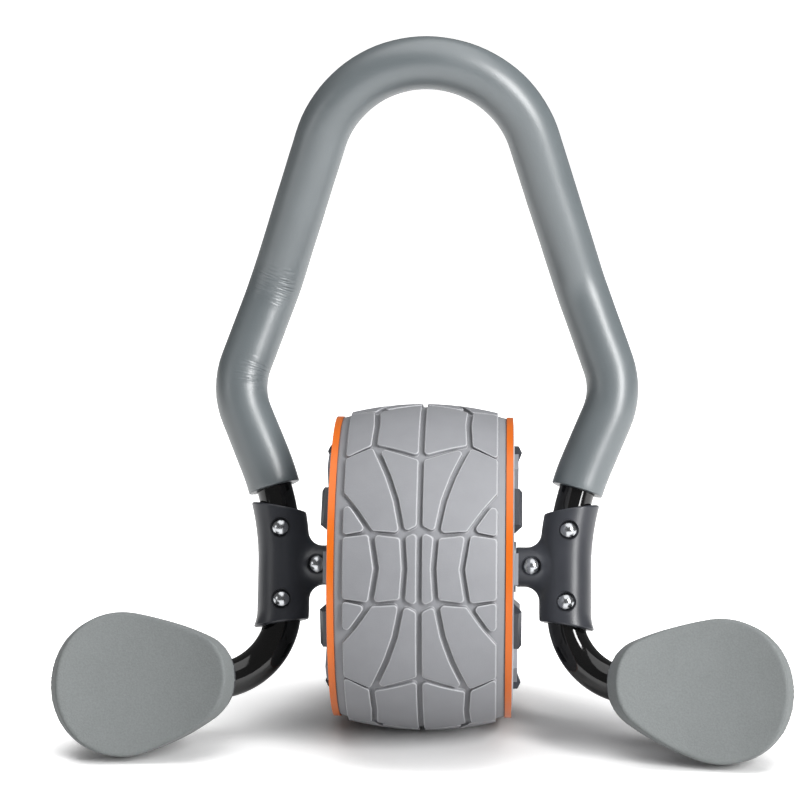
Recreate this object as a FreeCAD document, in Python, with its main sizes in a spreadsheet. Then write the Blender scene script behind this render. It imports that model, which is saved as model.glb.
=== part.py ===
"""Ab wheel roller: a wide sprung wheel, a bent foam handle and two elbow pads.

X runs along the axle, Y away from the user and Z up.  The origin lies on the
floor, straight under the middle of the axle.  The handle frame is drawn upright
about the axle, with local Z along its T-joints, and then leans back as one.
"""
import FreeCAD
import Part
import Sketcher
import math
import os
import re
from types import SimpleNamespace
from FreeCAD import Placement, Rotation, Vector

SIZES = (
    ("wheel_radius", 90, "axle to the crown of the tread"),
    ("crown_radius", 170, "arc of the tread across the wheel"),
    ("tyre_half_width", 45, "middle of the wheel to the tyre's edge"),
    ("tyre_depth", 13, "crown of the tread to the drum"),
    ("tread_margin", 4.8, "outer blocks to the tyre's edge"),
    ("tread_half_width", "=tyre_half_width - tread_margin", "middle of the wheel to the outer block edge"),
    ("tread_repeats", 3, "times that the tread's pattern goes round"),
    ("block_height", 1.9, "tread blocks above the carcass"),
    ("block_root", 0.6, "depth that a block runs into the carcass"),
    ("block_round", 2, "corners of a tread block"),
    ("groove_width", 3, "groove between neighbouring blocks"),
    ("wheel_turn", 13, "cross row of the tread above the front of the wheel"),
    ("drum_radius", "=wheel_radius - tyre_depth", "outside of the drum, under the tyre"),
    ("drum_wall", 4, "barrel of the drum"),
    ("drum_flange", 8, "thickness of the drum's inner flanges"),
    ("flange_depth", 19, "drum's inner flanges, in from the barrel"),
    ("flange_radius", "=drum_radius - drum_wall - flange_depth", "opening of the drum's inner flanges"),
    ("trim_width", 3.6, "coloured ring along the axle"),
    ("trim_height", 5.8, "coloured ring, out from the drum"),
    ("trim_radius", "=drum_radius + trim_height", "outside of the coloured ring"),
    ("cover_face", 0.8, "cover face beyond the drum's end"),
    ("cover_step", 0.6, "coloured ring beyond the side cover"),
    ("cover_edge_radius", "=trim_radius - cover_step", "outer edge of the side cover"),
    ("cover_dome", 11.2, "rounded edge of the side cover, out from its flat face"),
    ("cover_flat_radius", "=cover_edge_radius - cover_dome", "flat face of the side cover"),
    ("cover_wall", 3, "face wall of the side cover"),
    ("cover_spigot", 4.6, "part of the cover inside the drum"),
    ("dome_radius", 80, "rounded edge of the side cover"),
    ("hub_depth", 12.5, "cover hub behind the bush flange"),
    ("hub_wall", 7.5, "cover hub round the bush"),
    ("pad_margin", 4, "pads on the cover to the end of its flat face"),
    ("pad_length", 15, "pads on the cover"),
    ("pad_outer", "=cover_flat_radius - pad_margin", "outer end of the pads on the cover"),
    ("pad_inner", "=pad_outer - pad_length", "inner end of the pads on the cover"),
    ("low_pad_height", 2.2, "low pads above the cover face"),
    ("low_pad_angle", 7.2, "half the turn that a low pad takes"),
    ("fin_height", 4.2, "fins above the cover face, at their outer end"),
    ("fin_angle", 9.5, "half the turn that a fin takes"),
    ("fin_seat", 1, "depth of a fin's seat in the cover"),
    ("fin_bevel", 2, "bevel at the outer end of a fin"),
    ("fin_count", 6, "fins on each side"),
    ("screw_circle", "=pad_outer - pad_length / 2", "cover screws from the axle"),
    ("screw_radius", 1.75, "shank of a cover screw"),
    ("screw_head_radius", 3.2, "head of a cover screw"),
    ("screw_head_height", 2, "head of a cover screw"),
    ("axle_radius", 8, "axle rod"),
    ("running_clearance", 0.06, "bush round the axle"),
    ("fit_clearance", 0.05, "pieces that slide together and stay there"),
    ("side_clearance", 0.3, "bush flange to the axle washer"),
    ("bush_wall", 3, "bush round the axle"),
    ("bush_flange", 2, "thickness of the bush flange"),
    ("bush_flange_width", 5.5, "bush flange beyond the bush"),
    ("washer_thickness", 1.3, "axle washer"),
    ("washer_radius", 14, "axle washer"),
    ("arbor_wall", 4.5, "spring arbor on the axle"),
    ("spring_width", 32, "spring strip along the axle"),
    ("spring_strip", 0.9, "thickness of the spring strip"),
    ("spring_half_turns", 21, "half turns of the spring"),
    ("spring_room", 6, "outer turn of the spring to the drum"),
    ("spring_depth", "=drum_radius - drum_wall - spring_room - axle_radius - arbor_wall", "all turns of the spring"),
    ("spring_gap", "=2 * spring_depth / spring_half_turns", "from one turn of the spring to the next"),
    ("lean", 18, "T-joints from upright, top away from the user"),
    ("tube_radius", 10, "handle and elbow tubes"),
    ("tube_wall", 1, "handle and elbow tubes"),
    ("wheel_half_width", "=tyre_half_width + trim_width + cover_face", "middle of the wheel to the cover face"),
    ("arm_length", 27.3, "arm of the T-joint, from the axle washer to the barrel's middle"),
    ("joint_spacing", "=wheel_half_width + washer_thickness + arm_length", "wheel's middle to the barrel's"),
    ("joint_wall", 4.4, "barrel of the T-joint round its tubes"),
    ("barrel_radius", "=tube_radius + joint_wall", "barrel of the T-joint"),
    ("barrel_top", 31.5, "axle to the upper end of the barrel, at its middle"),
    ("barrel_bottom", 32.3, "axle to the lower end of the barrel, at its middle"),
    ("barrel_slant", 10, "slope of the barrel's ends, longer on the outer side"),
    ("arm_wall", 3, "arm of the T-joint round the axle"),
    ("arm_radius", "=axle_radius + arm_wall", "arm of the T-joint"),
    ("arm_socket", 14, "depth of the axle's socket in the arm"),
    ("joint_fillet", 8, "round between arm and barrel"),
    ("joint_rim", 1, "round at the open ends of the T-joint"),
    ("socket_web", 2, "half the wall between the two tubes"),
    ("splay_radius", 150, "first bend of the handle, out of the T-joint"),
    ("splay_angle", 23, "turn of that bend"),
    ("hip_spread", 29, "widest corner of the handle, out from the T-joint"),
    ("hip_half_width", "=joint_spacing + hip_spread", "widest corner of the handle"),
    ("hip_radius", 42, "bend at the widest corner"),
    ("fold_spread", 8.3, "where the handle folds forward, out from the T-joint"),
    ("fold_half_width", "=joint_spacing + fold_spread", "where the handle folds forward"),
    ("fold_rise", 66.8, "crown of the tread to the fold, along the T-joints"),
    ("fold_height", "=wheel_radius + fold_rise", "axle to the fold, along the T-joints"),
    ("fold_angle", 25, "turn of the fold"),
    ("fold_radius", 55, "bend at the fold"),
    ("top_rise", 127.3, "fold to the top of the handle"),
    ("top_radius", 62.3, "bend at the top"),
    ("foam_thickness", 4.5, "foam sleeve on the handle"),
    ("foam_radius", "=tube_radius + foam_thickness", "foam sleeve on the handle"),
    ("foam_gap", 11.5, "T-joint to the lower end of the foam"),
    ("foam_start", "=barrel_top + foam_gap", "axle to the lower end of the foam"),
    ("elbow_drop", 25, "axle to the start of the elbow tube's bend"),
    ("elbow_radius", 40, "bend of the elbow tube"),
    ("elbow_turn", 82, "turn of that bend"),
    ("elbow_toe", 12, "turn of the elbow tube towards the user"),
    ("elbow_length", 90, "elbow tube, out from the T-joint"),
    ("elbow_reach", "=joint_spacing + elbow_length", "middle of the wheel to the tube's outer end"),
    ("plug_depth", 6, "end plug inside the tube"),
    ("plug_cap", 2, "end plug outside the tube"),
    ("bolt_radius", 3, "joint bolts"),
    ("bolt_head_radius", 5, "joint bolts"),
    ("bolt_head_height", 3.2, "joint bolts"),
    ("bolt_seat_radius", 5.7, "recess round a bolt head"),
    ("bolt_seat_depth", 1.8, "recess round a bolt head"),
    ("bolt_height", 19.7, "axle to the bolts in the barrel"),
    ("arm_bolt_inset", 8.3, "end of the arm to its bolt"),
    ("arm_bolt_place", "=joint_spacing - arm_length + arm_bolt_inset", "wheel's middle to the bolt in the arm"),
    ("nut_height", 4.5, "joint nuts"),
    ("nut_bore", 2.7, "depth of the shank in a joint nut"),
    ("nut_round", 1.1, "edge of a joint nut"),
    ("rest_broad_radius", 38.5, "outer end of the elbow pad"),
    ("rest_narrow_radius", 24.5, "inner end of the elbow pad"),
    ("rest_length", 99.3, "elbow pad from end to end"),
    ("rest_overhang", 30.2, "elbow pad beyond the tube's end"),
    ("rest_outer", "=elbow_reach + rest_overhang", "middle of the wheel to the pad's outer end"),
    ("rest_inner", "=rest_outer - rest_length", "middle of the wheel to the pad's inner end"),
    ("rest_rise", 3.5, "narrow end above the broad end"),
    ("rest_side_radius", 170, "bulging sides of the elbow pad"),
    ("rest_back", 36, "T-joint plane to the back of the pad's foam"),
    ("rest_thickness", 12, "foam of the elbow pad"),
    ("rest_trough", 116, "radius of the hollow that the arm lies in"),
    ("rest_round", 1.2, "round of the foam's front edge"),
    ("plate_thickness", 3, "plate behind the foam"),
    ("plate_inset", 1.5, "foam beyond the plate's edge"),
    ("saddle_half_length", 17, "saddle between tube and plate"),
    ("saddle_half_height", 11, "saddle between tube and plate"),
    ("pad_bolt_spacing", 18, "two bolts in each elbow pad"),
    ("pad_bolt_radius", 2.5, "elbow pad bolts"),
    ("pad_bolt_head_radius", 4.5, "elbow pad bolts"),
    ("pad_bolt_head_height", 2.8, "elbow pad bolts"),
    ("pad_bolt_round", 1.4, "edge of a pad bolt's head"),
)

doc = FreeCAD.newDocument("AbWheel")
sheet = doc.addObject("Spreadsheet::Sheet", "Sizes")
for row, (name, value, note) in enumerate(SIZES, start=1):
    sheet.set(f"A{row}", name)
    sheet.set(f"B{row}", str(value))
    sheet.set(f"C{row}", note)
    sheet.setAlias(f"B{row}", name)
doc.recompute()

NAMES = [name for name, value, note in SIZES]
size = SimpleNamespace(**{name: float(sheet.get(name)) for name in NAMES})
pieces = []


# Helpers

def formula(text):
    """Text such as "tube_radius - tube_wall" as an expression on the sheet."""
    def cell(found):
        word = found.group()
        return f"Sizes.{word}" if word in NAMES else word
    return re.sub(r"[a-z]+(?:_[a-z]+)*", cell, text)


def number(text):
    return float(sheet.evalExpression(formula(text)))


def bind(target, **formulas):
    for field, text in formulas.items():
        target.setExpression(field, formula(text))
    return target


def place(target, leaning):
    """Put a piece drawn about the axle where it stands, leaning with the frame or turned with the wheel."""
    turn = "lean" if leaning else "wheel_turn"
    target.Placement = Placement(Vector(), Rotation(Vector(-1, 0, 0), number(turn)))
    target.setExpression("Placement.Base.z", formula("wheel_radius"))
    target.setExpression("Placement.Rotation.Angle", formula(turn))


def keep(target, label, leaning):
    target.Label = label
    place(target, leaning)
    pieces.append(target)
    return target


def mirrored(source, label):
    """The left-hand copy of a right-hand piece."""
    copy = doc.addObject("Part::Mirroring", label)
    copy.Source = source
    copy.Normal = Vector(1, 0, 0)
    copy.Label = label
    pieces.append(copy)
    return copy


def both_sides(source, name, leaning):
    keep(source, f"right_{name}", leaning)
    mirrored(source, f"left_{name}")


def solid(name, shape):
    feature = doc.addObject("Part::Feature", name)
    feature.Shape = shape
    return feature


def plane_sketch(body, name, role, offset=None):
    plane = next(item for item in body.Origin.OriginFeatures if item.Role == role)
    sketch = body.newObject("Sketcher::SketchObject", name)
    sketch.AttachmentSupport = [(plane, "")]
    sketch.MapMode = "FlatFace"
    if offset:
        sketch.setExpression("AttachmentOffset.Base.z", formula(offset))
    return sketch


def lock(sketch, kind, item, point, text):
    """Hold a point's coordinate, or a circle's radius, at a formula of the sheet."""
    if kind == "Radius":
        rule = Sketcher.Constraint(kind, item, number(text))
    else:
        rule = Sketcher.Constraint(kind, item, point, number(text))
    index = sketch.addConstraint(rule)
    sketch.setExpression(f"Constraints[{index}]", formula(text))


def outline(sketch, corners, arcs=None):
    """A closed outline, anticlockwise; arcs gives the radius of the edges that bulge outwards."""
    arcs = arcs or {}
    points = [Vector(number(x), number(y), 0) for x, y in corners]
    count = len(points)
    for index, start in enumerate(points):
        end = points[(index + 1) % count]
        if index in arcs:
            radius = number(arcs[index])
            along = end - start
            left = Vector(-along.y, along.x, 0).normalize()
            centre = (start + end) / 2 + left * math.sqrt(radius ** 2 - along.Length ** 2 / 4)
            circle = Part.Circle(centre, Vector(0, 0, 1), radius)
            ends = [math.atan2(p.y - centre.y, p.x - centre.x) for p in (start, end)]
            sketch.addGeometry(Part.ArcOfCircle(circle, *ends))
        else:
            sketch.addGeometry(Part.LineSegment(start, end))
    for index in range(count):
        sketch.addConstraint(Sketcher.Constraint("Coincident", index, 2, (index + 1) % count, 1))
    for index, (x, y) in enumerate(corners):
        lock(sketch, "DistanceX", index, 1, x)
        lock(sketch, "DistanceY", index, 1, y)
    for index, radius in arcs.items():
        lock(sketch, "Radius", index, 0, radius)
    return sketch


def holes(sketch, centres, radius):
    for index, (x, y) in enumerate(centres):
        centre = Vector(number(x), number(y), 0)
        sketch.addGeometry(Part.Circle(centre, Vector(0, 0, 1), number(radius)))
        lock(sketch, "DistanceX", index, 3, x)
        lock(sketch, "DistanceY", index, 3, y)
        lock(sketch, "Radius", index, 0, radius)
    return sketch


def turned(name, corners, arcs=None):
    """A body turned about the axle from corners given along the axle and out from it."""
    body = doc.addObject("PartDesign::Body", name)
    sketch = outline(plane_sketch(body, f"{name}_profile", "XZ_Plane"), corners, arcs)
    turn = body.newObject("PartDesign::Revolution", f"{name}_turn")
    turn.Profile = sketch
    turn.ReferenceAxis = (sketch, ["H_Axis"])
    turn.Angle = 360
    return body


def pocket(body, sketch, depth=None):
    """Cut a sketch to a depth, or right through on both sides of its plane."""
    cut = body.newObject("PartDesign::Pocket", f"{sketch.Name}_cut")
    cut.Profile = sketch
    if depth:
        cut.setExpression("Length", formula(depth))
    else:
        cut.Type = "ThroughAll"
        cut.Midplane = True
    return cut


def round_axle(body, features):
    pattern = body.newObject("PartDesign::PolarPattern", f"{features[0].Name}_round")
    pattern.Originals = features
    pattern.Axis = (features[0].Profile[0], ["N_Axis"])
    pattern.Angle = 360
    pattern.setExpression("Occurrences", formula("fin_count"))
    body.Tip = pattern
    return pattern


def ring_corners(start, end, inner, outer):
    return [(start, inner), (end, inner), (end, outer), (start, outer)]


def rod(radius, start, end):
    return Part.makeCylinder(radius, (end - start).Length, start, end - start)


def turned_copies(shape, count):
    step = 360 / count
    return [shape.rotated(Vector(), Vector(1, 0, 0), step * index) for index in range(count)]


def flipped(shape):
    return shape.mirror(Vector(), Vector(1, 0, 0))


# The drum, its trim rings and the tyre's carcass

drum_end = "(tyre_half_width + trim_width)"
drum_bore = "(drum_radius - drum_wall)"
flange_out = f"({drum_end} - cover_spigot)"
flange_in = f"({flange_out} - drum_flange)"

drum = turned("wheel_drum", [
    (f"-{drum_end}", drum_bore),
    (f"-{flange_out}", drum_bore),
    (f"-{flange_out}", "flange_radius"),
    (f"-{flange_in}", "flange_radius"),
    (f"-{flange_in}", drum_bore),
    (flange_in, drum_bore),
    (flange_in, "flange_radius"),
    (flange_out, "flange_radius"),
    (flange_out, drum_bore),
    (drum_end, drum_bore),
    (drum_end, "drum_radius"),
    (f"-{drum_end}", "drum_radius"),
])
screw_places = [("0", "screw_circle")]
screw_bores = holes(plane_sketch(drum, "drum_screws", "YZ_Plane"), screw_places, "screw_radius")
round_axle(drum, [pocket(drum, screw_bores)])
keep(drum, "wheel_drum", False)

trim = turned("trim_ring", ring_corners("tyre_half_width", drum_end, "drum_radius", "trim_radius"))
both_sides(trim, "trim_ring", False)

carcass_edge = (
    "(wheel_radius - block_height - crown_radius"
    " + sqrt(crown_radius * crown_radius - tyre_half_width * tyre_half_width))"
)
carcass = turned(
    "tyre_carcass",
    ring_corners("-tyre_half_width", "tyre_half_width", "drum_radius", carcass_edge),
    {2: "crown_radius - block_height"},
)
doc.recompute()


# The tread: a cross row, a leaf row and a crown row, mirrored about each row and about the middle.
# The grooves meet at these points: a share of half the tread's width, and the turn from the cross
# row as a share of one repeat.

GROOVES = {
    "tip": (0, 0.116),
    "rib": (0.21, 0.092),
    "waist": (0.18, 0),
    "shoulder": (0.61, 0.103),
    "side_waist": (0.535, 0),
    "edge": (1, 0.092),
    "vein_low": (0.3, 0.195),
    "vein_high": (0.41, 0.273),
    "fork": (0.61, 0.394),
    "corner_bend": (0.815, 0.173),
    "corner_edge": (1, 0.229),
    "crown_edge": (1, 0.353),
    "peak": (0, 0.333),
    "crown_waist": (0.59, 0.5),
}
CROSS_ROW = ("tip rib waist", "waist rib shoulder side_waist", "edge shoulder side_waist")
CROWN_ROW = ("peak fork crown_waist", "crown_edge fork crown_waist")
LEAF_ROW = (
    "tip rib vein_low vein_high fork peak",
    "rib shoulder corner_bend corner_edge crown_edge fork vein_high vein_low",
    "shoulder edge corner_edge corner_bend",
)


def crowned_layer(low, high):
    """The tread's layer between two heights measured from the carcass."""
    bottom = size.wheel_radius - size.block_height + low
    top = size.wheel_radius - size.block_height + high
    half = size.tread_half_width
    edges = []
    for middle, direction in ((bottom, 1), (top, -1)):
        drop = size.crown_radius - math.sqrt(size.crown_radius ** 2 - half ** 2)
        start = Vector(-half * direction, 0, middle - drop)
        end = Vector(half * direction, 0, middle - drop)
        edges.append((start, Vector(0, 0, middle), end))
    lower, upper = (Part.Arc(*points).toShape() for points in edges)
    sides = [
        Part.LineSegment(edges[0][2], edges[1][0]).toShape(),
        Part.LineSegment(edges[1][2], edges[0][0]).toShape(),
    ]
    face = Part.Face(Part.Wire([lower, sides[0], upper, sides[1]]))
    return face.revolve(Vector(), Vector(1, 0, 0), 360)


def tread_block(layer, corners):
    """A block inside these groove lines, cut square to the wheel at its own middle."""
    repeat = 360 / size.tread_repeats
    half_width = size.tread_half_width + size.groove_width / 2
    turns = [share * repeat for across, share in corners]
    middle = (min(turns) + max(turns)) / 2
    reach = size.wheel_radius
    points = []
    for (across, share), turn in zip(corners, turns):
        points.append(Vector(across * half_width, 0, reach * math.sin(math.radians(turn - middle))))
    lines = Part.Wire(Part.makePolygon(points + points[:1]).Edges)
    core = lines.makeOffset2D(-size.groove_width / 2 - size.block_round)
    face = Part.Face(core.makeOffset2D(size.block_round))
    column = face.extrude(Vector(0, -2 * reach, 0))
    column.rotate(Vector(), Vector(1, 0, 0), -middle)
    return layer.common(column)


def groove_points(names):
    return [GROOVES[name] for name in names.split()]


def about(row, points):
    """Half an outline made whole by its mirror image about a row."""
    image = [(across, 2 * row - turn) for across, turn in reversed(points) if turn != row]
    return points + image


def tread_blocks():
    layer = crowned_layer(-size.block_root, size.block_height)
    outlines = [about(0, groove_points(names)) for names in CROSS_ROW]
    outlines += [about(0.5, groove_points(names)) for names in CROWN_ROW]
    blocks = [tread_block(layer, points) for points in outlines]
    leaves = [tread_block(layer, groove_points(names)) for names in LEAF_ROW]
    blocks += leaves + [leaf.mirror(Vector(), Vector(0, 0, 1)) for leaf in leaves]
    blocks += [flipped(block) for block in blocks]
    return [copy for block in blocks for copy in turned_copies(block, int(size.tread_repeats))]


tyre = solid("tyre", carcass.Shape.fuse(tread_blocks()))
keep(tyre, "tyre", False)


# The side covers, with low pads and dark fins by turns, and what holds them

face_place = f"({drum_end} + cover_face)"
bush_outer = "(axle_radius + running_clearance + bush_wall)"
hub_face = f"({face_place} - side_clearance - bush_flange)"
hub_inner = f"({hub_face} - hub_depth)"
hub_outer = f"({bush_outer} + hub_wall)"
flange_outer = f"({bush_outer} + bush_flange_width)"

cover = turned("side_cover", [
    (hub_inner, bush_outer),
    (hub_face, bush_outer),
    (hub_face, f"{flange_outer} + side_clearance"),
    (face_place, f"{flange_outer} + side_clearance"),
    (face_place, "cover_flat_radius"),
    (drum_end, "cover_edge_radius"),
    (drum_end, drum_bore),
    (flange_out, drum_bore),
    (flange_out, "flange_radius"),
    (f"{face_place} - cover_wall", "flange_radius"),
    (f"{face_place} - cover_wall", hub_outer),
    (hub_inner, hub_outer),
], {4: "dome_radius"})


def sector(centred_on_y, inner, outer, half_angle, room="0"):
    """Corners of a pad between two radii, with its outer end round."""
    tan, sin, cos = (f"{name}({half_angle} * 1 deg)" for name in ("tan", "sin", "cos"))
    side = [(f"({inner}) - {room}", f"-({inner}) * {tan} - {room}"),
            (f"(({outer}) + {room}) * {cos}", f"-(({outer}) + {room}) * {sin} - {room}"),
            (f"(({outer}) + {room}) * {cos}", f"(({outer}) + {room}) * {sin} + {room}"),
            (f"({inner}) - {room}", f"({inner}) * {tan} + {room}")]
    if centred_on_y:
        return side
    return [(f"-({y})", x) for x, y in side]


low_sketch = plane_sketch(cover, "low_pad_outline", "YZ_Plane", face_place)
outline(low_sketch, sector(True, "pad_inner", "pad_outer", "low_pad_angle"), {1: "pad_outer"})
low_pad = cover.newObject("PartDesign::Pad", "low_pad")
low_pad.Profile = low_sketch
bind(low_pad, Length="low_pad_height")
round_axle(cover, [low_pad])

seat_sketch = plane_sketch(cover, "fin_seat_outline", "YZ_Plane", face_place)
seat_corners = sector(False, "pad_inner", "pad_outer", "fin_angle", "fit_clearance")
outline(seat_sketch, seat_corners, {1: "pad_outer + fit_clearance * 2"})
fin_seat_cut = pocket(cover, seat_sketch, "fin_seat")
head_sketch = plane_sketch(cover, "screw_head_outline", "YZ_Plane", face_place)
holes(head_sketch, screw_places, "screw_head_radius")
head_cut = pocket(cover, head_sketch, "fin_seat + screw_head_height")
shank_sketch = plane_sketch(cover, "screw_shank_outline", "YZ_Plane")
holes(shank_sketch, screw_places, "screw_radius")
shank_cut = pocket(cover, shank_sketch)
round_axle(cover, [fin_seat_cut, head_cut, shank_cut])
both_sides(cover, "side_cover", False)

face_x = number(face_place)


def cover_fin():
    """A fin at the top of the wheel: flush at its inner end and tall at its outer end."""
    floor = face_x - size.fin_seat
    top = face_x + size.fin_height
    half = math.radians(size.fin_angle)
    inner, outer = size.pad_inner, size.pad_outer
    side = [Vector(floor, 0, inner), Vector(face_x, 0, inner)]
    side += [Vector(top, 0, outer - 2 * size.fin_bevel)]
    side += [Vector(top - size.fin_bevel, 0, outer), Vector(floor, 0, outer)]
    wide = Part.Face(Part.makePolygon(side + side[:1]))
    reach = outer
    wedge = wide.extrude(Vector(0, 2 * reach, 0)).translated(Vector(0, -reach, 0))
    ends = [Vector(floor, outer * math.sin(turn), outer * math.cos(turn)) for turn in (half, 0, -half)]
    corners = [Vector(floor, inner * math.tan(turn), inner) for turn in (-half, half)]
    edges = [Part.LineSegment(corners[0], corners[1]).toShape()]
    edges += [Part.LineSegment(corners[1], ends[0]).toShape()]
    edges += [Part.Arc(*ends).toShape()]
    edges += [Part.LineSegment(ends[2], corners[0]).toShape()]
    pad = Part.Face(Part.Wire(edges)).extrude(Vector(2 * size.fin_height + size.fin_seat, 0, 0))
    return wedge.common(pad)


fin_count = int(size.fin_count)
fins = solid("cover_fins", Part.Compound(turned_copies(cover_fin(), fin_count)))
both_sides(fins, "cover_fins", False)


def cover_screw():
    at = size.screw_circle
    seat = face_x - size.fin_seat
    under = seat - size.screw_head_height
    tip = number(flange_in)
    head = rod(size.screw_head_radius - size.fit_clearance, Vector(under, 0, at), Vector(seat, 0, at))
    shank = rod(size.screw_radius - size.fit_clearance, Vector(tip, 0, at), Vector(under, 0, at))
    return head.fuse(shank).removeSplitter()


screws = turned_copies(cover_screw(), fin_count)
screw_set = solid("cover_screws", Part.Compound(screws + [flipped(screw) for screw in screws]))
keep(screw_set, "cover_screws", False)

bush_bore = "(axle_radius + running_clearance)"
bush = turned("bush", [
    (hub_inner, bush_bore),
    (f"{hub_face} + bush_flange", bush_bore),
    (f"{hub_face} + bush_flange", flange_outer),
    (hub_face, flange_outer),
    (hub_face, bush_outer),
    (hub_inner, bush_outer),
])
both_sides(bush, "bush", False)


# The axle, and the spring that winds on it

arm_end = f"({face_place} + washer_thickness)"
axle_end = f"({arm_end} + arm_socket - fit_clearance)"

axle = turned("axle", ring_corners(f"-{axle_end}", axle_end, "0", "axle_radius"))
bolt_sketch = plane_sketch(axle, "axle_bolts", "XZ_Plane")
holes(bolt_sketch, [("arm_bolt_place", "0"), ("-arm_bolt_place", "0")], "bolt_radius + fit_clearance")
pocket(axle, bolt_sketch)
keep(axle, "axle", True)

washer = turned("washer", ring_corners(face_place, arm_end, "axle_radius + fit_clearance", "washer_radius"))
both_sides(washer, "axle_washer", True)

arbor_outer = "(axle_radius + fit_clearance + arbor_wall)"
arbor = turned("arbor", ring_corners(
    "-spring_width / 2", "spring_width / 2", "axle_radius + fit_clearance", arbor_outer))
keep(arbor, "spring_arbor", True)


def spiral_spring():
    """A flat strip wound out from the arbor in half circles."""
    side = -size.spring_width / 2
    step = size.spring_gap / 2
    inner = number(arbor_outer) + size.fit_clearance
    count = int(size.spring_half_turns)
    sides = []
    for extra in (0, size.spring_strip):
        arcs = []
        radius = inner + extra
        centre = 0.0
        for index in range(count):
            sign = 1 if index % 2 == 0 else -1
            first = Vector(side, centre + sign * radius, 0)
            middle = Vector(side, centre, radius * sign)
            last = Vector(side, centre - sign * radius, 0)
            arcs.append(Part.Arc(first, middle, last))
            radius += step
            centre += sign * step
        sides.append(arcs)
    inside, outside = sides
    edges = [arc.toShape() for arc in inside]
    edges.append(Part.LineSegment(inside[-1].EndPoint, outside[-1].EndPoint).toShape())
    edges += [arc.toShape() for arc in reversed(outside)]
    edges.append(Part.LineSegment(outside[0].StartPoint, inside[0].StartPoint).toShape())
    face = Part.Face(Part.Wire(edges))
    return face.extrude(Vector(size.spring_width, 0, 0))


keep(solid("rebound_spring", spiral_spring()), "rebound_spring", True)


# The paths of the tubes, on the right-hand side and upright about the axle

def tilt_point(tilt):
    """A point of the handle's first bend, at a tilt from the T-joint's direction."""
    out = size.splay_radius * (1 - math.cos(tilt))
    return Vector(size.joint_spacing + out, 0, size.splay_radius * math.sin(tilt))


def elbow_point(tilt):
    """A point of the elbow tube's bend, which turns outwards and towards the user."""
    toe = math.radians(size.elbow_toe)
    out = size.elbow_radius * (1 - math.cos(tilt))
    drop = size.elbow_drop + size.elbow_radius * math.sin(tilt)
    return Vector(size.joint_spacing + out * math.cos(toe), -out * math.sin(toe), -drop)


def bend(point, start, end):
    return Part.Arc(point(start), point((start + end) / 2), point(end)).toShape()


def rounded(points, radii):
    """Straight runs through points, with an arc of the given radius at each inner one."""
    edges = []
    start = points[0]
    for before, corner, after, radius in zip(points, points[1:], points[2:], radii):
        back = (before - corner).normalize()
        ahead = (after - corner).normalize()
        half = back.getAngle(ahead) / 2
        reach = radius / math.tan(half)
        inward = (back + ahead).normalize() * (radius / math.sin(half) - radius)
        first, last = corner + back * reach, corner + ahead * reach
        edges.append(Part.LineSegment(start, first).toShape())
        edges.append(Part.Arc(first, corner + inward, last).toShape())
        start = last
    edges.append(Part.LineSegment(start, points[-1]).toShape())
    return edges


def opposite(point):
    return Vector(-point.x, point.y, point.z)


def handle_edges(start_height):
    """The handle from one T-joint over the top to the other, from a height above the axle."""
    splay = math.radians(size.splay_angle)
    fold_turn = math.radians(size.fold_angle)
    start = math.asin(start_height / size.splay_radius)
    bend_end = tilt_point(splay)
    hip_height = bend_end.z + (size.hip_half_width - bend_end.x) / math.tan(splay)
    hip = Vector(size.hip_half_width, 0, hip_height)
    fold = Vector(size.fold_half_width, 0, size.fold_height)
    centre_rise = size.top_rise - size.top_radius
    to_centre = math.hypot(size.fold_half_width, centre_rise)
    leg = math.atan2(size.fold_half_width, centre_rise) - math.asin(size.top_radius / to_centre)
    peak = size.fold_half_width / math.tan(leg)
    top = fold + Vector(-size.fold_half_width, -peak * math.sin(fold_turn), peak * math.cos(fold_turn))
    right = [bend_end, hip, fold]
    points = right + [top] + [opposite(point) for point in reversed(right)]
    radii = [size.hip_radius, size.fold_radius, size.top_radius, size.fold_radius, size.hip_radius]
    edges = [bend(tilt_point, start, splay)] + rounded(points, radii)
    return edges + [bend(lambda tilt: opposite(tilt_point(tilt)), splay, start)]


def elbow_edges(start_depth, reach):
    turn = math.radians(size.elbow_turn)
    ahead = elbow_direction()
    end = elbow_point(turn)
    tip = end + ahead * ((reach - end.x) / ahead.x)
    start = Vector(size.joint_spacing, 0, -start_depth)
    first = Part.LineSegment(start, elbow_point(0)).toShape()
    return [first, bend(elbow_point, 0, turn), Part.LineSegment(end, tip).toShape()]


def elbow_direction():
    turn, toe = math.radians(size.elbow_turn), math.radians(size.elbow_toe)
    across = math.sin(turn)
    return Vector(across * math.cos(toe), -across * math.sin(toe), -math.cos(turn))


def sweep(name, edges, radius, seam=0):
    """A round bar along a path of tangent runs and arcs; seam turns its lengthwise seam."""
    path = solid(f"{name}_path", Part.Wire(edges))
    section = doc.addObject("Part::Circle", f"{name}_section")
    bind(section, Radius=radius)
    first = edges[0]
    along = first.tangentAt(first.FirstParameter)
    facing = Rotation(Vector(0, 0, 1), along) * Rotation(Vector(0, 0, 1), seam)
    section.Placement = Placement(first.valueAt(first.FirstParameter), facing)
    bar = doc.addObject("Part::Sweep", name)
    bar.Sections = [section]
    bar.Spine = (path, [f"Edge{index + 1}" for index in range(len(edges))])
    bar.Solid = True
    bar.Frenet = False
    return bar


def less(name, base, tools):
    """A base with tools cut away."""
    cut = doc.addObject("Part::Cut", name)
    cut.Base = base
    cut.Tool = tools[0]
    if len(tools) > 1:
        joined = doc.addObject("Part::MultiFuse", f"{name}_tools")
        joined.Shapes = tools
        cut.Tool = joined
    return cut


def cross_rods(name, places, radius, low, high):
    """Rods from back to front through points given across and up."""
    rods = [rod(radius, Vector(x, -low, z), Vector(x, -high, z)) for x, z in places]
    return solid(name, Part.Compound(rods))


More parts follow.
